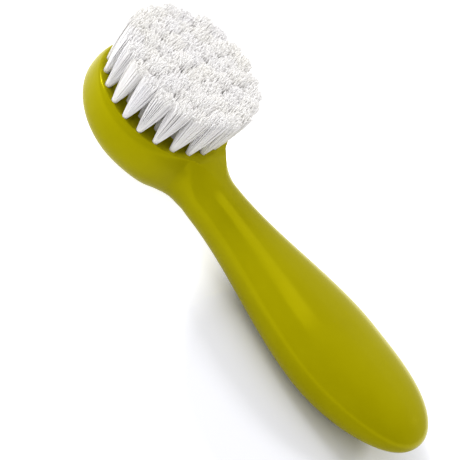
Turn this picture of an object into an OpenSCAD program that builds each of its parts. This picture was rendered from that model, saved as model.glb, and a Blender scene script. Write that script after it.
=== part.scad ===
// Vegetable brush with a round head, tufts set in blind holes, and a one-piece moulded handle.
// It lies on its back with the bristles up: X runs along the handle, Y across it, Z up.
// The origin is under the middle of the brush, on the surface that it lies on.

/* [Head] */
// Diameter of the round head at its widest line
head_d = 55.2; // [50:0.2:62]
// Height of the flat bristle face above the table
face_z = 22.8; // [20:0.1:26]
// Height of the head's widest line above the table
head_mid_z = 15.4; // [12:0.1:17]
// Rise of the widest line towards the front of the head
head_lift = 1; // [0:0.1:2]
// Distance from the head's centre to the deepest place of its back, towards the neck
bowl_x = 8.2; // [0:0.2:12]
// Width of the rounded rim outside the flat face
rim_w = 2; // [1:0.1:3]

/* [Neck] */
// Distance from the head's centre to the narrowest place of the neck
neck_x = 37.5; // [35:0.5:44]
// Width of the neck
neck_w = 21.2; // [17:0.2:27]
// Thickness of the neck
neck_h = 17.8; // [13:0.2:20]
// Height of the neck's underside above the table
neck_z = 2.3; // [0.5:0.1:4]

/* [Handle] */
// Distance from the head's centre to the widest place of the handle
grip_x = 105.5; // [90:0.5:115]
// Width of the handle at its widest place
grip_w = 42.8; // [34:0.2:48]
// Thickness of the handle at its widest place
grip_h = 25; // [19:0.5:29]
// Distance from the head's centre to the end of the handle
end_x = 148.4; // [135:0.2:165]
// Height of the handle's endmost point above the table
end_z = 15.4; // [9:0.2:18]

/* [Tufts] */
// Diameter of each blind tuft hole
hole_d = 2.6; // [2:0.1:3.2]
// Depth of each blind tuft hole
hole_depth = 8; // [6:0.5:12]
// Flat left between the outer holes and the rim
edge_margin = 0.5; // [0.4:0.1:1.6]
// Radius of the innermost ring of tufts
core_r = 4.6; // [4.2:0.1:5]
// Height of the bristles above the face
tuft_h = 18.8; // [14:0.2:28]
// Outward lean of the outer ring's tips
lean = 0.8; // [0:0.1:2]
// Gap left between the tips of neighbouring tufts
tip_gap = 0.2; // [0.1:0.1:1.5]
// Thickness of a bristle strand at its root
strand_root_d = 0.6; // [0.5:0.05:0.65]
// Thickness of a bristle strand at its tip
strand_tip_d = 1.5; // [0.7:0.05:1.7]

/* [Anchors] */
// Thickness of the flat wire that pins each tuft in its hole
wire_t = 0.3; // [0.2:0.05:0.5]
// Height of the flat wire
wire_h = 1.6; // [1:0.1:2.2]
// Length of wire that bites into the plastic at each side of the hole
wire_bite = 0.5; // [0.3:0.1:0.8]
// Height of the folded bristles under the wire
fold_h = 1.2; // [0.8:0.1:1.8]
// Gap between a tuft or a wire and the plastic beside it
fit_gap = 0.02; // [0.01:0.01:0.05]

/* [Hidden] */
RING_NAMES = ["core", "inner", "middle", "outer"];
RING_COUNTS = [4, 10, 16, 22];
// Turn of each ring, so that tufts stand in the gaps of the next ring
RING_TURNS = [45, 0, 11.25, 11];
RINGS = [0:len(RING_NAMES) - 1];

// Power of the smooth blend where the neck grows out of the round head
BLEND = 4;
// Power of the rounded handle end, a little fuller than an ellipse
END_ROUND = 2.15;
// Power of the bowl under the head and handle, fuller than an ellipse
BOWL_ROUND = 2.5;
// Share of the head's radius at which the widest line starts to sink towards the neck
SINK_START = 0.3;
// Flat along the crown of the handle, and where the face runs out into the neck, as shares
// of the half width
CROWN_FLAT = 0.12;
NECK_FLAT = 0.75;
// Power of the crown's sides: 1 follows the head's turned rim and 2 is an ellipse
CROWN_ROUND = 1.8;

head_r = head_d / 2;
face_r = head_r - rim_w;
hole_r = hole_d / 2;
outer_r = face_r - edge_margin - hole_r;
ring_pitch = (outer_r - core_r) / (len(RING_NAMES) - 1);
// Least distance from tuft to tuft, from ring to ring or along a ring
tuft_pitch = min(concat(
    [ring_pitch],
    [for (ring = RINGS) 2 * ring_r(ring) * sin(180 / RING_COUNTS[ring])]
));
spread = (tuft_pitch - tip_gap - strand_tip_d) / 2;
bowl_share = bowl_x / head_r;
hole_z = face_z - hole_depth;
wire_z = hole_z + fold_h;
wire_len = hole_d + 2 * wire_bite;
neck_mid_z = neck_z + neck_h / 2;
centre_x = (end_x - head_r) / 2;

// Sections of the body: to the head's centre, to the face's edge, to the grip, to the end
HEAD_STEPS = 14;
FACE_STEPS = 12;
STEM_STEPS = 28;
END_STEPS = 16;
// Points of half a section on the rim and on the bowl
RIM_STEPS = 8;
BOWL_STEPS = 11;

// Bristle strands of one tuft: [count, radius at the root, share of the spread, turn]
STRAND_RINGS = [[3, 0.4, 0.42, 30], [6, 0.95, 1, 0]];
// Length of a strand inside the tuft's root, and the unevenness of the tips
STRAND_SINK = 1;
TIP_UNEVEN = 0.7;

function tuft_name(ring, i) = str("tuft_", RING_NAMES[ring], i < 10 ? "_0" : "_", i);

// Smooth step from 0 to 1
function ease(t) = let (u = min(1, max(0, t))) u * u * (3 - 2 * u);
function mix(a, b, t) = a + (b - a) * t;
function blend(a, b) = pow(pow(a, BLEND) + pow(b, BLEND), 1 / BLEND);
function chord(r, x) = sqrt(max(0, r * r - x * x));

// How far along the body x is, from 0 to 1: out of the head, down to the neck from a start,
// neck to grip, and grip to end
function out(x) = ease(x / head_r);
function sink(x, start) = ease((x - start) / (neck_x - start));
function along(x) = ease((x - neck_x) / (grip_x - neck_x));
function past(x) = max(0, (x - grip_x) / (end_x - grip_x));
function closing(x) = pow(1 - pow(past(x), END_ROUND), 1 / END_ROUND);

// Half width of the body, and half width of the flat on its crown
function half_w(x) =
    blend(chord(head_r, x), out(x) * closing(x) * mix(neck_w, grip_w, along(x)) / 2);
function flat_w(x) =
    let (share = mix(CROWN_FLAT, NECK_FLAT, ease(x / face_r) * (1 - sink(x, face_r))))
    blend(chord(face_r, x), share * half_w(x));

// Height of the widest line, and the body's height above it and depth below it
function head_line_z(x) = head_mid_z + (x < 0 ? head_lift * pow(x / head_r, 2) : 0);
function mid_z(x) =
    let (head_to_neck = mix(head_line_z(x), neck_mid_z, sink(x, SINK_START * head_r)))
    mix(mix(head_to_neck, grip_h / 2, along(x)), end_z, ease(past(x)));
function crown_h(x) =
    let (neck_top = mix(face_z, neck_z + neck_h, sink(x, face_r)))
    let (top = mix(neck_top, grip_h, along(x)))
    (x > grip_x ? grip_h / 2 : top - mid_z(x)) * closing(x);
function bowl_h(x) =
    let (
        across = min(1, x / head_r),
        from_deepest = across - bowl_share * (1 - across * across) / (1 - bowl_share * bowl_share)
    )
    blend(
        head_line_z(x) * pow(max(0, 1 - from_deepest * from_deepest), 1 / BOWL_ROUND),
        out(x) * closing(x) * mix(neck_h, grip_h, along(x)) / 2
    );

// Half a section at x, as [y, z] points from the crown's flat round to the underside.
// On the head they lie on a turned rim, whose start angle is 0 up to the face's edge.
function half_section(x) =
    let (
        w = half_w(x),
        f = min(flat_w(x), 0.9 * w),
        mid = mid_z(x),
        start = x < -face_r ? asin((-x - face_r) / rim_w) : 0,
        inner = max(face_r, x < 0 ? -x : 0),
        power = mix(1, CROWN_ROUND, ease(x / neck_x))
    )
    concat(
        [for (j = [0:RIM_STEPS])
            let (
                angle = mix(start, 90, j / RIM_STEPS),
                r = face_r + rim_w * sin(angle),
                share = pow(max(0, r * r - inner * inner) / (head_r * head_r - inner * inner), power)
            )
            [sqrt(f * f + (w * w - f * f) * share), mid + crown_h(x) * cos(angle)]],
        [for (j = [1:BOWL_STEPS - 1])
            let (angle = 90 * j / BOWL_STEPS)
            [w * pow(cos(angle), 2 / BOWL_ROUND), mid - bowl_h(x) * pow(sin(angle), 2 / BOWL_ROUND)]]
    );

// A whole section as 3D points: crown centre, one side, underside centre, other side
function section(x) =
    let (half = half_section(x), last = len(half) - 1)
    concat(
        [[x, 0, half[0][1]]],
        [for (p = half) [x, p[0], p[1]]],
        [[x, 0, mid_z(x) - bowl_h(x)]],
        [for (j = [last:-1:0]) [x, -half[j][0], half[j][1]]]
    );

STATIONS = concat(
    [for (i = [1:HEAD_STEPS]) -head_r * cos(90 * i / HEAD_STEPS)],
    [for (i = [1:FACE_STEPS]) face_r * sin(90 * i / FACE_STEPS)],
    [for (i = [1:STEM_STEPS]) mix(face_r, grip_x, i / STEM_STEPS)],
    [for (i = [1:END_STEPS - 1]) mix(grip_x, end_x, sin(90 * i / END_STEPS))]
);

// Centre of one tuft hole on the face
function ring_r(ring) = core_r + ring_pitch * ring;
function tuft_at(ring, i) =
    let (angle = RING_TURNS[ring] + 360 * i / RING_COUNTS[ring])
    ring_r(ring) * [cos(angle), sin(angle)];

// Moulded shell of the head, neck and handle, lofted through all the sections
module body_skin() {
    ring = 2 * (RIM_STEPS + BOWL_STEPS) + 2;
    rings = len(STATIONS);
    points = concat(
        [for (x = STATIONS) each section(x)],
        [[-head_r, 0, head_line_z(-head_r)], [end_x, 0, end_z]]
    );
    polyhedron(
        points,
        concat(
            [for (i = [0:rings - 2]) for (j = [0:ring - 1])
                let (a = i * ring + j, b = i * ring + (j + 1) % ring)
                each [[a, b, b + ring], [a, b + ring, a + ring]]],
            [for (j = [0:ring - 1]) [rings * ring, (j + 1) % ring, j]],
            [for (j = [0:ring - 1])
                let (base = (rings - 1) * ring)
                [rings * ring + 1, base + j, base + (j + 1) % ring]]
        )
    );
}

// Flat wire with its underside at z = 0, grown by a gap at its sides and top
module wire(gap = 0) {
    translate([-wire_t / 2 - gap, -wire_len / 2 - gap, 0])
        cube([wire_t + 2 * gap, wire_len + 2 * gap, wire_h + gap]);
}

module brush_body() {
    color("#a8a000")
        difference() {
            body_skin();
            for (ring = RINGS) for (i = [1:RING_COUNTS[ring]])
                translate(tuft_at(ring, i)) {
                    translate([0, 0, hole_z])
                        cylinder(h = hole_depth + 1, d = hole_d, $fn = 32);
                    translate([0, 0, wire_z])
                        wire(fit_gap);
                }
        }
}

// One bristle strand from a root point to a tip point, four-sided and thicker at the tip
module strand(root, tip) {
    run = tip - root;
    translate(root)
        rotate([0, acos(run.z / norm(run)), atan2(run.y, run.x)])
            cylinder(h = norm(run), d1 = strand_root_d, d2 = strand_tip_d, $fn = 4);
}

// One folded tuft: a packed root that fills its hole round the wire, and its strands
module tuft(ring, i) {
    at = tuft_at(ring, i);
    sway = lean / outer_r * at;
    uneven = rands(-TIP_UNEVEN, TIP_UNEVEN, 9, 100 * ring + i);
    color("#f4f3ee")
        translate(at)
            difference() {
                union() {
                    translate([0, 0, hole_z])
                        cylinder(h = hole_depth, r = hole_r - fit_gap, $fn = 32);
                    for (k = [0:1]) for (s = [0:STRAND_RINGS[k][0] - 1]) {
                        turn = STRAND_RINGS[k][3] + 360 * s / STRAND_RINGS[k][0];
                        way = [cos(turn), sin(turn)];
                        root = STRAND_RINGS[k][1] * way;
                        tip = sway + spread * STRAND_RINGS[k][2] * way;
                        strand(
                            [root.x, root.y, face_z - STRAND_SINK],
                            [tip.x, tip.y, face_z + tuft_h + uneven[3 * k + s]]
                        );
                    }
                }
                translate([0, 0, wire_z])
                    wire(fit_gap);
            }
}

module anchors(ring) {
    color("#b9bcc0")
        for (i = [1:RING_COUNTS[ring]])
            translate(tuft_at(ring, i))
                translate([0, 0, wire_z])
                    wire();
}

translate([-centre_x, 0, 0]) {
    brush_body();
    for (ring = RINGS) {
        for (i = [1:RING_COUNTS[ring]])
            tuft(ring, i);
        anchors(ring);
    }
}
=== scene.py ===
"""Vegetable brush: a moulded body with a round head, and nylon tufts folded into blind holes."""

import math
import random

import bmesh
import bpy
from mathutils import Matrix, Vector


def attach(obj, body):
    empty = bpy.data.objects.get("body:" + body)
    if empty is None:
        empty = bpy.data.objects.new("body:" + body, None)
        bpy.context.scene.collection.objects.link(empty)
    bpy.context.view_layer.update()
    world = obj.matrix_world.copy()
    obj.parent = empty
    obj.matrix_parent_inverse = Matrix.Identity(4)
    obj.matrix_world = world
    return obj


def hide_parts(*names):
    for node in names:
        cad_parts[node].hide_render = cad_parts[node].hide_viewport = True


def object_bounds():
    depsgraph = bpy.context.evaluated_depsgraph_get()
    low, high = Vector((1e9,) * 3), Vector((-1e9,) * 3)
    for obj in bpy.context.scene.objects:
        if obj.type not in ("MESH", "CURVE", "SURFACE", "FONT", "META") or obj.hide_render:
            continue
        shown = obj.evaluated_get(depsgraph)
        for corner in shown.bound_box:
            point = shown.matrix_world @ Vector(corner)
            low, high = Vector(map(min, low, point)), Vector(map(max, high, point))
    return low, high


bl_info = {
    "name": "Vegetable Brush",
    "version": (1, 0, 0),
    "blender": (4, 5, 0),
    "location": "View3D > Sidebar > Vegetable Brush",
    "description": "Builds a vegetable brush with a moulded body and folded nylon tufts",
    "category": "Add Mesh",
}

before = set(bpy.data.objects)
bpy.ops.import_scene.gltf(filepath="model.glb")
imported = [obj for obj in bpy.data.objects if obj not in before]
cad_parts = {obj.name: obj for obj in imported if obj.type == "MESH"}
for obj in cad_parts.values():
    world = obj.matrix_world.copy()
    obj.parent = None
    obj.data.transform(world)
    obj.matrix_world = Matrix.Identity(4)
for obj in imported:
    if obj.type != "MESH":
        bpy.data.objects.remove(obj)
CAD_LOW, CAD_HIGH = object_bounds()

MM = 0.001
BODY_NODE = "brush_body"
# Tufts in each ring, from the middle outwards
RINGS = {"core": 4, "inner": 10, "middle": 16, "outer": 22}
HEAD_D = 55.2 * MM
# Middle of the head along the brush, whose own middle is the frame's origin
HEAD_X = CAD_LOW.x + HEAD_D / 2
# Radius of the outer ring of tufts
OUTER_R = 23.8 * MM

# Powers and shares of the moulded body's shape, as in its CAD solid
BLEND = 4
END_ROUND = 2.15
BOWL_ROUND = 2.5
SINK_START = 0.3
CROWN_FLAT = 0.12
NECK_FLAT = 0.75
CROWN_ROUND = 1.8
# Most of the body's width that the flat of its crown takes up
FLAT_MOST = 0.9
# Stretch over which the corner between head and neck is evened out, as a share of their distance
FILLET_SPAN = 1.3
# Measures taken to each side of a place to even it out
FILLET_STEPS = 4

# Points closer than this are joined into one
WELD = 0.001 * MM
# How far a point of the flat face may lie from its level
FACE_LEVEL = 0.0001 * MM
# Width of the band of faces just inside the flat face's outline, which the holes stay clear of
FACE_BAND = 0.1 * MM
# How far the points of a tuft's bottom edge may lie above its lowest point
TUFT_BOTTOM = 0.01 * MM
# Slopes at which the rounded mouth of a hole has its corners
MOUTH_SLOPES = [math.radians(slope) for slope in (30, 60, 88)]
HOLE_STEPS = 28
# Edges of the body that turn by more than this are shaded sharp
SHARP_TURN = math.radians(35)

# Seed of all draws that make tufts and filaments differ
SEED = 22
# How much sooner than in a straight line the filaments of a tuft open above the face
OPENING = 0.5
# How much of a filament's tint is its own, and not its tuft's
OWN_TINT = 0.5

# Half the floor's width, and how far it lies below the brush
FLOOR_HALF = 4
FLOOR_GAP = 0.05 * MM
# Place on the floor beside the handle's end, where the shadow shows, and the distances from it
# at which the floor's painted glow starts and is full; this glow is painted light that hides the shadow
# farther away
SHADOW_PLACE = (CAD_HIGH.x - 30 * MM, -20 * MM, 0)
GLOW_START = 45 * MM
GLOW_FULL = 78 * MM
GLOW_MOST = 0.85
# Width and height of each soft light, its place, and whether glossy surfaces mirror it
SOFT_LIGHTS = {
    "head_light": {"size": (0.2, 0.28), "place": (-0.66, -0.1, 0.42), "mirrored": True},
    "strip_light": {"size": (0.5, 0.16), "place": (-0.3, 0.03, 0.85), "mirrored": True},
    "fill_light": {"size": (0.6, 0.6), "place": (-0.45, -0.6, 0.3), "mirrored": False},
    "shadow_light": {"size": (0.2, 0.2), "place": (0.38, 0.55, 0.5), "mirrored": False},
}
# Width of the camera's sensor in millimetres, and the nearest and farthest distance that it sees
SENSOR_WIDTH = 36
CLIP_START = 0.05
CLIP_END = 20


# Sizes and colours

class BrushBodySizes(bpy.types.PropertyGroup):
    head_d: bpy.props.FloatProperty(
        name="Head", description="Diameter of the round head",
        default=HEAD_D, unit="LENGTH", subtype="DISTANCE")
    face_z: bpy.props.FloatProperty(
        name="Face Height", description="Height of the flat bristle face above the table",
        default=22.8 * MM, unit="LENGTH", subtype="DISTANCE")
    head_mid_z: bpy.props.FloatProperty(
        name="Widest Line", description="Height of the head's widest line above the table",
        default=15.4 * MM, unit="LENGTH", subtype="DISTANCE")
    head_lift: bpy.props.FloatProperty(
        name="Front Rise", description="Rise of the widest line towards the front of the head",
        default=1 * MM, unit="LENGTH", subtype="DISTANCE")
    bowl_x: bpy.props.FloatProperty(
        name="Deepest Place", description="Distance from the head's centre to the deepest place of its back",
        default=8.2 * MM, unit="LENGTH", subtype="DISTANCE")
    rim_w: bpy.props.FloatProperty(
        name="Rim", description="Width of the rounded rim outside the flat face",
        default=2 * MM, unit="LENGTH", subtype="DISTANCE")
    side_fillet: bpy.props.FloatProperty(
        name="Side Fillet", description="How far the corner between head and neck is evened out at the sides",
        default=2.1 * MM, unit="LENGTH", subtype="DISTANCE")
    back_fillet: bpy.props.FloatProperty(
        name="Back Fillet", description="How far the corner between head and neck is evened out underneath",
        default=12 * MM, unit="LENGTH", subtype="DISTANCE")
    neck_x: bpy.props.FloatProperty(
        name="Neck Place", description="Distance from the head's centre to the narrowest place of the neck",
        default=37.5 * MM, unit="LENGTH", subtype="DISTANCE")
    neck_w: bpy.props.FloatProperty(
        name="Neck Width", description="Width of the neck",
        default=21.2 * MM, unit="LENGTH", subtype="DISTANCE")
    neck_h: bpy.props.FloatProperty(
        name="Neck Thickness", description="Thickness of the neck",
        default=17.8 * MM, unit="LENGTH", subtype="DISTANCE")
    neck_z: bpy.props.FloatProperty(
        name="Neck Clearance", description="Height of the neck's underside above the table",
        default=2.3 * MM, unit="LENGTH", subtype="DISTANCE")
    grip_x: bpy.props.FloatProperty(
        name="Grip Place", description="Distance from the head's centre to the widest place of the handle",
        default=105.5 * MM, unit="LENGTH", subtype="DISTANCE")
    grip_w: bpy.props.FloatProperty(
        name="Grip Width", description="Width of the handle at its widest place",
        default=42.8 * MM, unit="LENGTH", subtype="DISTANCE")
    grip_h: bpy.props.FloatProperty(
        name="Grip Thickness", description="Thickness of the handle at its widest place",
        default=25 * MM, unit="LENGTH", subtype="DISTANCE")
    end_x: bpy.props.FloatProperty(
        name="Handle End", description="Distance from the head's centre to the end of the handle",
        default=CAD_HIGH.x - HEAD_X, unit="LENGTH", subtype="DISTANCE")
    end_z: bpy.props.FloatProperty(
        name="End Height", description="Height of the handle's endmost point above the table",
        default=15.4 * MM, unit="LENGTH", subtype="DISTANCE")
    hole_d: bpy.props.FloatProperty(
        name="Tuft Hole", description="Diameter of each blind tuft hole",
        default=2.6 * MM, unit="LENGTH", subtype="DISTANCE")
    hole_round: bpy.props.FloatProperty(
        name="Hole Edge", description="Radius of the rounded edge at the mouth of a tuft hole",
        default=0.14 * MM, unit="LENGTH", subtype="DISTANCE")


class BristleSizes(bpy.types.PropertyGroup):
    filament_d: bpy.props.FloatProperty(
        name="Filament", description="Thickness of a nylon filament where it is packed in its hole",
        default=0.15 * MM, unit="LENGTH", subtype="DISTANCE")
    tip_d: bpy.props.FloatProperty(
        name="Filament Tip", description="Thickness of a nylon filament at its tip",
        default=0.44 * MM, unit="LENGTH", subtype="DISTANCE")
    spread: bpy.props.FloatProperty(
        name="Spread", description="Radius of a tuft at its tips",
        default=4.6 * MM, unit="LENGTH", subtype="DISTANCE")
    lean: bpy.props.FloatProperty(
        name="Lean", description="Outward lean of the outer ring's tips",
        default=0.2 * MM, unit="LENGTH", subtype="DISTANCE")
    height: bpy.props.FloatProperty(
        name="Height", description="Height of the bristles above the face",
        default=19.5 * MM, unit="LENGTH", subtype="DISTANCE")
    dome: bpy.props.FloatProperty(
        name="Dome", description="How much lower a tuft's outermost tips are than its middle",
        default=1.2 * MM, unit="LENGTH", subtype="DISTANCE")
    uneven: bpy.props.FloatProperty(
        name="Unevenness", description="How far a tip may stand above or below its tuft's height",
        default=0.8 * MM, unit="LENGTH", subtype="DISTANCE")
    field_r: bpy.props.FloatProperty(
        name="Field", description="Radius of the whole field of tips",
        default=27.8 * MM, unit="LENGTH", subtype="DISTANCE")
    over: bpy.props.FloatProperty(
        name="Longest", description="How far the longest tips may stand above the tufts' CAD solids",
        default=0.9 * MM, unit="LENGTH", subtype="DISTANCE")
    stray: bpy.props.FloatProperty(
        name="Stray", description="How far the tips stray sideways, each by itself and each tuft as a whole",
        default=0.25 * MM, unit="LENGTH", subtype="DISTANCE")
    wire_t: bpy.props.FloatProperty(
        name="Anchor Thickness", description="Thickness of the flat wire that the filaments are folded round",
        default=0.3 * MM, unit="LENGTH", subtype="DISTANCE")
    fold_h: bpy.props.FloatProperty(
        name="Fold", description="Height of the folded filaments under the wire",
        default=1.2 * MM, unit="LENGTH", subtype="DISTANCE")


class BrushColours(bpy.types.PropertyGroup):
    plastic: bpy.props.FloatVectorProperty(
        name="Plastic", description="Colour of the moulded body",
        default=(0.345, 0.31, 0.001), min=0, max=1, subtype="COLOR")
    plastic_deep: bpy.props.FloatVectorProperty(
        name="Deep Plastic", description="Colour of the denser swirls in the moulded body",
        default=(0.305, 0.27, 0.0), min=0, max=1, subtype="COLOR")
    nylon_warm: bpy.props.FloatVectorProperty(
        name="Warm Nylon", description="Colour of the creamiest filaments",
        default=(0.985, 0.965, 0.92), min=0, max=1, subtype="COLOR")
    nylon_cool: bpy.props.FloatVectorProperty(
        name="Cool Nylon", description="Colour of the coolest filaments",
        default=(0.965, 0.955, 0.975), min=0, max=1, subtype="COLOR")
    wire: bpy.props.FloatVectorProperty(
        name="Wire", description="Colour of the anchor wires",
        default=(0.55, 0.56, 0.58), min=0, max=1, subtype="COLOR")
    floor: bpy.props.FloatVectorProperty(
        name="Floor", description="Colour of the floor",
        default=(0.83, 0.835, 0.88), min=0, max=1, subtype="COLOR")


class StudioSettings(bpy.types.PropertyGroup):
    aim: bpy.props.FloatVectorProperty(
        name="Aim", description="Point that the camera looks at",
        default=(-10.85 * MM, -1.561 * MM, 10.686 * MM), unit="LENGTH", subtype="TRANSLATION")
    distance: bpy.props.FloatProperty(
        name="Distance", description="Distance from the camera to its aim",
        default=837.25 * MM, unit="LENGTH", subtype="DISTANCE")
    azimuth: bpy.props.FloatProperty(
        name="Azimuth", description="Direction of the camera round the brush",
        default=math.radians(14.614), unit="ROTATION", subtype="ANGLE")
    elevation: bpy.props.FloatProperty(
        name="Elevation", description="Height of the camera above the table, as an angle",
        default=math.radians(37.21), unit="ROTATION", subtype="ANGLE")
    roll: bpy.props.FloatProperty(
        name="Roll", description="Turn of the camera about its own line of sight",
        default=math.radians(43.058), unit="ROTATION", subtype="ANGLE")
    lens: bpy.props.FloatProperty(
        name="Lens", description="Focal length of the camera, in millimetres",
        default=189.62, subtype="DISTANCE_CAMERA")
    head_light: bpy.props.FloatProperty(
        name="Head Light", description="Power of the soft light in front of the head",
        default=2.2, min=0, unit="POWER")
    strip_light: bpy.props.FloatProperty(
        name="Strip Light", description="Power of the long light over the brush",
        default=0.42, min=0, unit="POWER")
    fill_light: bpy.props.FloatProperty(
        name="Fill Light", description="Power of the soft light beside the camera",
        default=1.35, min=0, unit="POWER")
    shadow_light: bpy.props.FloatProperty(
        name="Shadow Light", description="Power of the light that casts the handle's shadow",
        default=2.4, min=0, unit="POWER")
    sky: bpy.props.FloatProperty(
        name="Surroundings", description="Strength of the even light from all round",
        default=0.735, min=0)


# Shader helpers

class Value:
    """A number that changes over a surface. Maths on it adds Math nodes."""

    def __init__(self, tree, socket):
        self.tree, self.socket = tree, socket

    def maths(self, operation, first, second):
        return self.tree.node("ShaderNodeMath", {"operation": operation}, {0: first, 1: second})

    def __add__(self, other):
        return self.maths("ADD", self, other)

    def __sub__(self, other):
        return self.maths("SUBTRACT", self, other)

    def __rsub__(self, other):
        return self.maths("SUBTRACT", other, self)

    def __mul__(self, other):
        return self.maths("MULTIPLY", self, other)

    __radd__ = __add__
    __rmul__ = __mul__


class Tree:
    """The nodes of a material or of the world, which start empty."""

    def __init__(self, owner):
        owner.use_nodes = True
        self.nodes, self.links = owner.node_tree.nodes, owner.node_tree.links
        self.nodes.clear()

    def made(self, kind, settings=None, sockets=None):
        """One node with its settings, then its sockets' values or links."""
        made = self.nodes.new(kind)
        for name, setting in (settings or {}).items():
            setattr(made, name, setting)
        for name, value in (sockets or {}).items():
            if isinstance(value, Value):
                self.links.new(value.socket, made.inputs[name])
            else:
                made.inputs[name].default_value = value
        return made

    def node(self, kind, settings=None, sockets=None, output=0):
        """One output of a new node, as a Value."""
        return Value(self, self.made(kind, settings, sockets).outputs[output])

    def light_path(self):
        """1 for what the camera sees, straight, mirrored or through something clear."""
        return sum(self.node("ShaderNodeLightPath", output=f"Is {kind} Ray")
                   for kind in ("Camera", "Glossy", "Transmission"))


class Finish(Tree):
    """A material whose patterns read Object coordinates."""

    def __init__(self, name):
        self.material = bpy.data.materials.new(name)
        super().__init__(self.material)
        self.place = self.node("ShaderNodeTexCoord", output="Object")

    def mapped(self, centre=(0, 0, 0), turn=(0, 0, 0), scale=(1, 1, 1)):
        """Object coordinates centred, turned and scaled for one pattern."""
        return self.node("ShaderNodeMapping", {"vector_type": "POINT"}, {
            "Vector": self.place, "Location": centre, "Rotation": turn, "Scale": scale})

    def noise(self, scale, detail, roughness=0.5, place=None):
        return self.node("ShaderNodeTexNoise", {"noise_dimensions": "3D"}, {
            "Vector": place or self.place, "Scale": scale, "Detail": detail, "Roughness": roughness})

    def attribute(self, name):
        return self.node("ShaderNodeAttribute", {"attribute_name": name}, output="Fac")

    def spread_out(self, value, low, high):
        """A value between two limits, as 0 to 1."""
        return self.node("ShaderNodeMapRange", {"clamp": True}, {
            "Value": value, "From Min": low, "From Max": high})

    def colour_mix(self, share, first, second):
        """A mix of two plain colours, which go into sockets 6 and 7 and come out of output 2."""
        return self.node("ShaderNodeMix", {"data_type": "RGBA"}, {
            "Factor": share, 6: (*first, 1), 7: (*second, 1)}, output=2)

    def bump(self, height, distance, strength):
        return self.node("ShaderNodeBump", None, {
            "Height": height, "Distance": distance, "Strength": strength})

    def surface(self, **sockets):
        """The material with one Principled shader, whose sockets are named in lower case."""
        named = {name.replace("_", " ").title().replace("Ior", "IOR"): value
                 for name, value in sockets.items()}
        return self.shaded(self.node("ShaderNodeBsdfPrincipled", None, named))

    def shaded(self, shader):
        self.made("ShaderNodeOutputMaterial", None, {"Surface": shader})
        return self.material


def moulded_plastic(colours):
    """Glossy plastic with faint swirls of pigment, and the slight unevenness of a polished mould."""
    finish = Finish("moulded_plastic")
    swirl = finish.noise(scale=22, detail=3, roughness=0.55, place=finish.mapped(scale=(0.6, 1, 1)))
    cloud = finish.noise(scale=140, detail=4, roughness=0.6)
    density = finish.spread_out(swirl * 0.8 + cloud * 0.2, low=0.35, high=0.65)
    handling = finish.noise(scale=60, detail=5, roughness=0.65,
                            place=finish.mapped(turn=(0.3, 0.5, 0.2), scale=(0.5, 1.4, 1.4)))
    peel = finish.noise(scale=420, detail=2, roughness=0.4)
    return finish.surface(
        base_color=finish.colour_mix(density, colours.plastic, colours.plastic_deep),
        roughness=handling * 0.1 + 0.15,
        ior=1.49,
        specular_ior_level=0.06,
        metallic=0.2,
        specular_tint=(1, 0.95, 0.08, 1),
        normal=finish.bump(peel, distance=0.02 * MM, strength=0.35),
    )


def nylon_filament(colours):
    """White nylon whose filaments differ a little in tint and shine."""
    finish = Finish("nylon_filament")
    tint = finish.attribute("tint")
    rise = finish.attribute("rise")
    grain = finish.noise(scale=900, detail=2)
    return finish.surface(
        base_color=finish.colour_mix(tint * 0.8 + grain * 0.2, colours.nylon_warm, colours.nylon_cool),
        roughness=0.5 - tint * 0.12 + rise * 0.1,
        ior=1.53,
        normal=finish.bump(grain, distance=0.01 * MM, strength=0.3),
    )


def flat_wire(colours):
    """Drawn steel wire with fine lines along its length."""
    finish = Finish("flat_wire")
    lines = finish.noise(scale=1500, detail=3, roughness=0.6, place=finish.mapped(scale=(1, 0.05, 1)))
    bright = [min(1, 1.2 * share) for share in colours.wire]
    return finish.surface(
        base_color=finish.colour_mix(lines, colours.wire, bright),
        metallic=1,
        roughness=0.25 + lines * 0.2,
        normal=finish.bump(lines, distance=0.01 * MM, strength=0.4),
    )


def pale_floor(colours):
    """Pale matte floor with painted light: a glow seen straight and in reflections grows with distance from a
    place beside the handle's end, turns the floor white and paints out the brush's shadow, which shows only
    near that place.
    """
    finish = Finish("pale_floor")
    grain = finish.noise(scale=30, detail=2)
    colour = finish.colour_mix(grain, colours.floor, [share * 1.01 for share in colours.floor])
    diffuse = finish.node("ShaderNodeBsdfDiffuse", None, {"Color": colour})
    away = finish.node("ShaderNodeVectorMath", {"operation": "LENGTH"}, {
        0: finish.mapped(centre=[-measure for measure in SHADOW_PLACE])}, output="Value")
    # Painted light: the glow rises with distance from the shadow's place and hides the real shadow beyond it
    glow = finish.node("ShaderNodeMapRange", {"interpolation_type": "SMOOTHSTEP"}, {
        "Value": away, "From Min": GLOW_START, "From Max": GLOW_FULL, "To Max": GLOW_MOST})
    emission = finish.node("ShaderNodeEmission", None, {"Strength": finish.light_path() * glow})
    return finish.shaded(finish.node("ShaderNodeAddShader", None, {0: diffuse, 1: emission}))


# Pieces

def ease(share):
    u = min(1, max(0, share))
    return u * u * (3 - 2 * u)


def mix(first, second, share):
    return first + (second - first) * share


def blend(first, second):
    return (first ** BLEND + second ** BLEND) ** (1 / BLEND)


def chord(radius, x):
    return math.sqrt(max(0, radius * radius - x * x))


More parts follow.
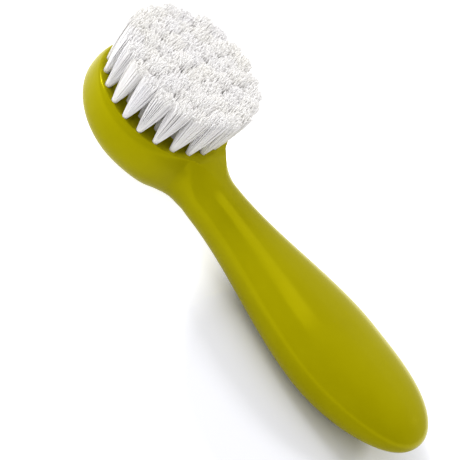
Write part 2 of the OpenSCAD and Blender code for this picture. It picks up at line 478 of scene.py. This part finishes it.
class BodyForm:
    """Sections of the moulded body, measured from the middle of the head."""

    RIM_STEPS = 14
    BOWL_STEPS = 18
    HEAD_STEPS = 30
    FACE_STEPS = 24
    STEM_STEPS = 60
    END_STEPS = 30

    def __init__(self, sizes):
        self.s = sizes
        self.head_r = sizes.head_d / 2
        self.face_r = self.head_r - sizes.rim_w
        self.neck_mid_z = sizes.neck_z + sizes.neck_h / 2

    def stations(self):
        """Places along the body, closer together where it turns quickly."""
        head = [-self.head_r * math.cos(math.pi / 2 * i / self.HEAD_STEPS)
                for i in range(1, self.HEAD_STEPS + 1)]
        # One of them lies on the edge of the flat face
        nearest = min(range(len(head)), key=lambda i: abs(head[i] + self.face_r))
        head[nearest] = -self.face_r
        face = [self.face_r * math.sin(math.pi / 2 * i / self.FACE_STEPS)
                for i in range(1, self.FACE_STEPS + 1)]
        stem = [mix(self.face_r, self.s.grip_x, i / self.STEM_STEPS)
                for i in range(1, self.STEM_STEPS + 1)]
        end = [mix(self.s.grip_x, self.s.end_x, math.sin(math.pi / 2 * i / self.END_STEPS))
               for i in range(1, self.END_STEPS)]
        return [-self.head_r, *head, *face, *stem, *end, self.s.end_x]

    def sink(self, x, start):
        """0 to 1 from a start to the narrowest place of the neck."""
        return ease((x - start) / (self.s.neck_x - start))

    def along(self, x):
        """0 to 1 from the narrowest place of the neck to the widest of the handle."""
        return ease((x - self.s.neck_x) / (self.s.grip_x - self.s.neck_x))

    def past(self, x):
        """0 to 1 from the widest place of the handle to its end."""
        return max(0, (x - self.s.grip_x) / (self.s.end_x - self.s.grip_x))

    def closing(self, x):
        """1 up to the widest place of the handle, and from there rounding down to 0 at its end."""
        return max(0, 1 - self.past(x) ** END_ROUND) ** (1 / END_ROUND)

    def stem(self, x, neck, grip):
        """Half a width or thickness of the neck and handle, given at its narrowest and widest place."""
        return ease(x / self.head_r) * self.closing(x) * mix(neck, grip, self.along(x)) / 2

    def evened(self, measure, x, fillet):
        """A measure's average over a stretch of the body, which is longest where head and neck meet."""
        away = abs(x - self.head_r) / (FILLET_SPAN * (self.s.neck_x - self.head_r))
        reach = fillet * (1 - ease(away))
        steps = range(-FILLET_STEPS, FILLET_STEPS + 1)
        return sum(measure(x + reach * step / FILLET_STEPS) for step in steps) / len(steps)

    def corner_w(self, x):
        """Half the width of the body, with a bare corner between head and neck."""
        return blend(chord(self.head_r, x), self.stem(x, self.s.neck_w, self.s.grip_w))

    def half_w(self, x):
        return self.evened(self.corner_w, x, self.s.side_fillet)

    def flat_w(self, x):
        """Half the width of the flat of the crown."""
        half_w = self.half_w(x)
        share = mix(CROWN_FLAT, NECK_FLAT, ease(x / self.face_r) * (1 - self.sink(x, self.face_r)))
        return min(blend(chord(self.face_r, x), share * half_w), FLAT_MOST * half_w)

    def head_line_z(self, x):
        """Height of the head's widest line, which rises towards its front."""
        return self.s.head_mid_z + (self.s.head_lift * (x / self.head_r) ** 2 if x < 0 else 0)

    def mid_z(self, x):
        """Height of the body's widest line, where its crown meets its bowl."""
        lowered = mix(self.head_line_z(x), self.neck_mid_z, self.sink(x, SINK_START * self.head_r))
        return mix(mix(lowered, self.s.grip_h / 2, self.along(x)), self.s.end_z, ease(self.past(x)))

    def crown_h(self, x):
        """Height of the crown above the widest line."""
        if x > self.s.grip_x:
            return self.s.grip_h / 2 * self.closing(x)
        neck_top = mix(self.s.face_z, self.s.neck_z + self.s.neck_h, self.sink(x, self.face_r))
        return mix(neck_top, self.s.grip_h, self.along(x)) - self.mid_z(x)

    def corner_h(self, x):
        """Depth of the bowl under the widest line, with a bare corner between head and neck."""
        across = min(1, x / self.head_r)
        share = self.s.bowl_x / self.head_r
        from_deepest = across - share * (1 - across ** 2) / (1 - share ** 2)
        bowl = self.head_line_z(x) * max(0, 1 - from_deepest ** 2) ** (1 / BOWL_ROUND)
        return blend(bowl, self.stem(x, self.s.neck_h, self.s.grip_h))

    def bowl_h(self, x):
        return self.evened(self.corner_h, x, self.s.back_fillet)

    def half_section(self, x):
        """Half a section as (y, z) pairs, from the crown's middle round to the underside's middle."""
        w, f = self.half_w(x), self.flat_w(x)
        mid, crown, bowl = self.mid_z(x), self.crown_h(x), self.bowl_h(x)
        start = math.asin((-x - self.face_r) / self.s.rim_w) if x < -self.face_r else 0
        inner = max(self.face_r, -x)
        power = mix(1, CROWN_ROUND, ease(x / self.s.neck_x))
        points = [(0, mid + crown * math.cos(start))]
        for j in range(self.RIM_STEPS + 1):
            angle = mix(start, math.pi / 2, j / self.RIM_STEPS)
            r = self.face_r + self.s.rim_w * math.sin(angle)
            share = max(0, r * r - inner * inner) / (self.head_r ** 2 - inner * inner)
            y = math.sqrt(f * f + (w * w - f * f) * share ** power)
            points.append((y, mid + crown * math.cos(angle)))
        for j in range(1, self.BOWL_STEPS):
            angle = math.pi / 2 * j / self.BOWL_STEPS
            points.append((w * math.cos(angle) ** (2 / BOWL_ROUND),
                           mid - bowl * math.sin(angle) ** (2 / BOWL_ROUND)))
        points.append((0, mid - bowl))
        return points

    def section(self, x):
        """A closed section, whose last point is its first."""
        if x <= -self.head_r or x >= self.s.end_x:
            z = self.s.end_z if x > 0 else self.head_line_z(x)
            return [(0, z)] * (2 * (self.RIM_STEPS + self.BOWL_STEPS + 1) + 1)
        half = self.half_section(x)
        return half + [(-y, z) for y, z in half[-2::-1]]


def tuft_root(node):
    """Middle of a CAD tuft's lowest edge, at the bottom of its blind hole."""
    corners = [v.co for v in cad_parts[node].data.vertices]
    low = min(co.z for co in corners)
    bottom = [co for co in corners if co.z < low + TUFT_BOTTOM]
    return sum(bottom, Vector()) / len(bottom)


def tuft_names():
    return [f"{ring}_{i:02d}" for ring, count in RINGS.items() for i in range(1, count + 1)]


def mesh_of(bm, name):
    """The mesh made of a bmesh, which is freed."""
    mesh = bpy.data.meshes.new(name)
    bm.to_mesh(mesh)
    bm.free()
    return mesh


def finished(name, bm, material, sharp_turn=None):
    """A smooth-shaded object made of a bmesh, with its place in its mesh."""
    bmesh.ops.recalc_face_normals(bm, faces=bm.faces)
    for face in bm.faces:
        face.smooth = True
    if sharp_turn is not None:
        for edge in bm.edges:
            edge.smooth = edge.calc_face_angle(0) < sharp_turn
    mesh = mesh_of(bm, name)
    mesh.materials.append(material)
    piece = bpy.data.objects.new(name, mesh)
    bpy.context.scene.collection.objects.link(piece)
    return piece


def skin_of(form):
    """The body's closed skin: a grid wrapped round its sections and welded along its seam and poles."""
    stations = form.stations()
    sections = [form.section(x) for x in stations]
    along, around = len(stations) - 1, len(sections[0]) - 1
    bm = bmesh.new()
    bmesh.ops.create_grid(bm, x_segments=along, y_segments=around, size=0.5)
    for v in bm.verts:
        i, j = round((v.co.x + 0.5) * along), round((v.co.y + 0.5) * around)
        y, z = sections[i][j]
        v.co = (HEAD_X + stations[i], y, z)
    bmesh.ops.remove_doubles(bm, verts=bm.verts, dist=WELD)
    return bm


def hole_cutter(radius, depth, edge_round):
    """The space of one blind hole with a rounded mouth, turned about the Z axis, its mouth at z = 0."""
    bm = bmesh.new()
    flare = [(radius + edge_round * (1 - math.cos(a)), -edge_round * (1 - math.sin(a)))
             for a in MOUTH_SLOPES]
    profile = [(0, -depth), (radius, -depth), (radius, -edge_round), *flare,
               (flare[-1][0], edge_round), (0, edge_round)]
    verts = [bm.verts.new((x, 0, z)) for x, z in profile]
    edges = [bm.edges.new(pair) for pair in zip(verts, verts[1:])]
    bmesh.ops.spin(bm, geom=verts + edges, cent=(0, 0, 0), axis=(0, 0, 1), dvec=(0, 0, 0),
                   angle=math.tau, steps=HOLE_STEPS, use_merge=True, use_duplicate=False)
    bmesh.ops.remove_doubles(bm, verts=bm.verts, dist=WELD)
    bmesh.ops.recalc_face_normals(bm, faces=bm.faces)
    return bm


def all_holes(sizes, roots):
    """The spaces of all blind holes, each over its tuft's root."""
    depth = sizes.face_z - roots[0].z
    one = mesh_of(hole_cutter(sizes.hole_d / 2, depth, sizes.hole_round), "one_hole")
    holes = bmesh.new()
    for root in roots:
        placed = one.copy()
        placed.transform(Matrix.Translation((root.x, root.y, sizes.face_z)))
        holes.from_mesh(placed)
        bpy.data.meshes.remove(placed)
    bpy.data.meshes.remove(one)
    return holes


def drilled(skin, sizes, roots):
    """The body's skin with a blind hole over each tuft's root, cut by a boolean that is applied."""
    face_end = HEAD_X + sizes.head_d / 2 - sizes.rim_w + WELD
    flat = [face for face in skin.faces
            if all(abs(v.co.z - sizes.face_z) < FACE_LEVEL and v.co.x < face_end for v in face.verts)]
    bmesh.ops.inset_region(skin, faces=flat, thickness=FACE_BAND, use_boundary=True, use_even_offset=True)
    body, cutter = finished("uncut", skin, None), finished("cutter", all_holes(sizes, roots), None)
    cut = body.modifiers.new("holes", "BOOLEAN")
    cut.operation, cut.solver, cut.object = "DIFFERENCE", "EXACT", cutter
    made = bmesh.new()
    made.from_object(body, bpy.context.evaluated_depsgraph_get())
    for used in (body, cutter):
        used_mesh = used.data
        bpy.data.objects.remove(used)
        bpy.data.meshes.remove(used_mesh)
    return made


def filament_stock(steps):
    """A straight four-sided filament along Z, cut into steps that its z counts."""
    bm = bmesh.new()
    bmesh.ops.create_cone(bm, cap_ends=True, segments=4, radius1=1, radius2=1, depth=steps)
    sides = [edge for edge in bm.edges if edge.verts[0].co.z * edge.verts[1].co.z < 0]
    bmesh.ops.subdivide_edges(bm, edges=sides, cuts=steps - 1)
    bmesh.ops.translate(bm, verts=bm.verts, vec=(0, 0, steps / 2))
    return mesh_of(bm, "filament_stock")


class TuftForm:
    """The folded filaments of one tuft, as paths from tip to tip round the wire."""

    LEG_STEPS = 4
    FOLD_STEPS = 4
    # Steps from tip to tip: two legs, the fold, and one from each leg into the fold
    STEPS = 2 * LEG_STEPS + FOLD_STEPS + 2

    def __init__(self, sizes, body, root, draw):
        self.s, self.root, self.draw = sizes, root, draw
        self.pack_r = body.hole_d / 2 - sizes.filament_d / 2
        self.face_z = body.face_z
        self.wire_z = root.z + sizes.fold_h
        self.most_h = CAD_HIGH.z - body.face_z + sizes.over
        self.outward = Vector((root.x - HEAD_X, root.y, 0))
        self.sway = self.outward * (sizes.lean / OUTER_R) + self.straying()
        self.field_r = sizes.field_r + draw.uniform(-1, 1) * sizes.uneven
        self.tint = draw.random()
        self.lift = draw.uniform(-1, 1) * sizes.uneven

    def straying(self):
        return Vector((self.draw.gauss(0, 1), self.draw.gauss(0, 1), 0)) * self.s.stray

    def seats(self):
        """Seat of each filament at the wire: how far out from it, and where along it."""
        d = self.s.filament_d
        columns = int(self.pack_r / d + 0.5)
        for column in range(-columns, columns):
            y = (column + 0.5) * d
            room = chord(self.pack_r, y) - self.s.wire_t / 2
            for layer in range(int(room / d + 0.5)):
                yield (layer + 0.5) * d, y

    def leg(self, out, y, side):
        """Points of one leg from the face's level to its tip, with the tuft's middle at x = y = 0."""
        s = self.s
        at_face = Vector((side * out, y, 0))
        tip = self.sway + at_face * ((s.spread - s.tip_d / 2) / self.pack_r) + self.straying()
        reach = (self.outward + tip).length
        if reach > self.field_r:
            tip -= (self.outward + tip) * (1 - (self.field_r - self.draw.random() * s.uneven) / reach)
        domed = s.dome * (at_face.length / self.pack_r) ** 2
        height = s.height - domed + self.lift + self.draw.uniform(-1, 1) * s.uneven
        height = min(height, self.most_h)
        points = []
        for i in range(self.LEG_STEPS + 1):
            share = i / self.LEG_STEPS
            opened = share * (1 + OPENING * (1 - share))
            points.append(at_face.lerp(tip, opened) + Vector((0, 0, self.face_z + height * share)))
        return points

    def filament(self, out, y):
        """Path of one folded filament, with the share of its way up to a tip at each point."""
        near, far = self.leg(out, y, 1), self.leg(out, y, -1)
        fold = []
        for i in range(self.FOLD_STEPS + 1):
            turn = math.pi * i / self.FOLD_STEPS
            fold.append(Vector(((out + self.s.wire_t / 2) * math.cos(turn), y,
                                self.wire_z - out * math.sin(turn))))
        middle = Vector((self.root.x, self.root.y, 0))
        path = [point + middle for point in near[::-1] + fold + far]
        low, high = path[len(near)].z, path[0].z
        return path, [max(0, (point.z - low) / (high - low)) for point in path]


def tuft_mesh(form, stock):
    """All filaments of a tuft in one bmesh, with each one's tint and the rise along it."""
    bm = bmesh.new()
    tint = bm.verts.layers.float.new("tint")
    rise = bm.verts.layers.float.new("rise")
    for out, y in form.seats():
        path, rises = form.filament(out, y)
        own_tint = mix(form.tint, form.draw.random(), OWN_TINT)
        before = len(bm.verts)
        bm.from_mesh(stock)
        bm.verts.ensure_lookup_table()
        for v in bm.verts[before:]:
            i = round(v.co.z)
            ahead = (path[min(i + 1, form.STEPS)] - path[max(i - 1, 0)]).normalized()
            side = ahead.cross(Vector((0, 1, 0))).normalized()
            r = mix(form.s.filament_d, form.s.tip_d, rises[i]) / 2
            v[tint], v[rise] = own_tint, rises[i]
            v.co = path[i] + (side * v.co.x + side.cross(ahead) * v.co.y) * r
    return bm


# Operators

class BRUSH_OT_body(bpy.types.Operator):
    """Build the moulded body with its blind tuft holes"""
    bl_idname = "brush.body"
    bl_label = "Moulded Body"

    def execute(self, context):
        scene = context.scene
        roots = [tuft_root(f"tuft_{name}") for name in tuft_names()]
        bm = drilled(skin_of(BodyForm(scene.brush_body)), scene.brush_body, roots)
        if any(not e.is_manifold for e in bm.edges):
            raise RuntimeError("the moulded body isn't closed")
        body = finished("moulded_body", bm, moulded_plastic(scene.brush_colours), SHARP_TURN)
        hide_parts(BODY_NODE)
        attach(body, "root")
        return {"FINISHED"}


class BRUSH_OT_tufts(bpy.types.Operator):
    """Build every tuft of folded nylon filaments in its own hole"""
    bl_idname = "brush.tufts"
    bl_label = "Nylon Tufts"

    def execute(self, context):
        scene = context.scene
        material = nylon_filament(scene.brush_colours)
        stock = filament_stock(TuftForm.STEPS)
        draw = random.Random(SEED)
        for name in tuft_names():
            node = f"tuft_{name}"
            form = TuftForm(scene.brush_bristles, scene.brush_body, tuft_root(node), draw)
            tuft = finished(f"bristles_{name}", tuft_mesh(form, stock), material)
            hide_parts(node)
            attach(tuft, "root")
        bpy.data.meshes.remove(stock)
        return {"FINISHED"}


class BRUSH_OT_anchors(bpy.types.Operator):
    """Give the anchor wires their drawn steel finish"""
    bl_idname = "brush.anchors"
    bl_label = "Anchor Wires"

    def execute(self, context):
        material = flat_wire(context.scene.brush_colours)
        for ring in RINGS:
            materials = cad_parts[f"anchors_{ring}"].data.materials
            materials.clear()
            materials.append(material)
        return {"FINISHED"}


class BRUSH_OT_stage(bpy.types.Operator):
    """Set the floor, the soft lights and the camera"""
    bl_idname = "brush.stage"
    bl_label = "Studio"

    def execute(self, context):
        scene, studio = context.scene, context.scene.brush_studio
        self.floor(scene)
        self.surroundings(scene, studio)
        for name, power in (("head_light", studio.head_light), ("strip_light", studio.strip_light),
                            ("fill_light", studio.fill_light), ("shadow_light", studio.shadow_light)):
            self.soft_light(scene, name, power, **SOFT_LIGHTS[name])
        self.camera(scene, studio)
        scene.view_settings.view_transform = "Standard"
        return {"FINISHED"}

    def floor(self, scene):
        bm = bmesh.new()
        bmesh.ops.create_grid(bm, x_segments=2, y_segments=2, size=FLOOR_HALF,
                              matrix=Matrix.Translation((0, 0, -FLOOR_GAP)))
        floor = finished("floor", bm, pale_floor(scene.brush_colours))

    def surroundings(self, scene, studio):
        """Even light from all round, which itself shows as plain white."""
        scene.world = bpy.data.worlds.new("surroundings")
        sky = Tree(scene.world)
        strength = sky.node("ShaderNodeMapRange", None, {"Value": sky.light_path(), "To Min": studio.sky})
        background = sky.node("ShaderNodeBackground", None, {"Color": (1, 1, 1, 1), "Strength": strength})
        sky.made("ShaderNodeOutputWorld", None, {"Surface": background})

    def soft_light(self, scene, name, power, size, place, mirrored):
        """A rectangular light that faces the middle of the brush."""
        data = bpy.data.lights.new(name, "AREA")
        data.shape, data.energy = "RECTANGLE", power
        data.size, data.size_y = size
        light = bpy.data.objects.new(name, data)
        light.location = place
        light.rotation_mode = "QUATERNION"
        light.rotation_quaternion = (-light.location).to_track_quat("-Z", "Y")
        light.visible_glossy = mirrored
        scene.collection.objects.link(light)

    def camera(self, scene, studio):
        """The photograph's viewpoint: round the brush, up from the table, and turned about its line."""
        a, e, roll = studio.azimuth, studio.elevation, studio.roll
        back = Vector((math.sin(a) * math.cos(e), -math.cos(a) * math.cos(e), math.sin(e)))
        right = Vector((math.cos(a), math.sin(a), 0))
        up = back.cross(right)
        across = right * math.cos(roll) + up * math.sin(roll)
        turned = Matrix((across, back.cross(across), back)).transposed()
        data = bpy.data.cameras.new("camera")
        data.lens, data.sensor_width = studio.lens, SENSOR_WIDTH
        data.clip_start, data.clip_end = CLIP_START, CLIP_END
        camera = bpy.data.objects.new("camera", data)
        camera.matrix_world = (Matrix.Translation(Vector(studio.aim) + back * studio.distance)
                               @ turned.to_4x4())
        scene.collection.objects.link(camera)
        scene.camera = camera


class BRUSH_PT_panel(bpy.types.Panel):
    """Sizes, colours and building steps of the vegetable brush"""
    bl_idname = "BRUSH_PT_panel"
    bl_label = "Vegetable Brush"
    bl_space_type = "VIEW_3D"
    bl_region_type = "UI"
    bl_category = "Vegetable Brush"

    def draw(self, context):
        for title, group, operators in (
            ("Body", context.scene.brush_body, [BRUSH_OT_body]),
            ("Bristles", context.scene.brush_bristles, [BRUSH_OT_tufts, BRUSH_OT_anchors]),
            ("Colours", context.scene.brush_colours, []),
            ("Studio", context.scene.brush_studio, [BRUSH_OT_stage]),
        ):
            box = self.layout.box()
            box.label(text=title)
            for name in group.__annotations__:
                box.prop(group, name)
            for operator in operators:
                box.operator(operator.bl_idname)


SETTINGS = {
    "brush_body": BrushBodySizes,
    "brush_bristles": BristleSizes,
    "brush_colours": BrushColours,
    "brush_studio": StudioSettings,
}
CLASSES = (
    *SETTINGS.values(),
    BRUSH_OT_body,
    BRUSH_OT_tufts,
    BRUSH_OT_anchors,
    BRUSH_OT_stage,
    BRUSH_PT_panel,
)


def register():
    for cls in CLASSES:
        bpy.utils.register_class(cls)
    for name, group in SETTINGS.items():
        setattr(bpy.types.Scene, name, bpy.props.PointerProperty(type=group))


def unregister():
    for name in SETTINGS:
        delattr(bpy.types.Scene, name)
    for cls in reversed(CLASSES):
        bpy.utils.unregister_class(cls)


def main():
    register()
    bpy.ops.brush.stage()
    bpy.ops.brush.body()
    bpy.ops.brush.tufts()
    bpy.ops.brush.anchors()


if __name__ == "__main__":
    main()
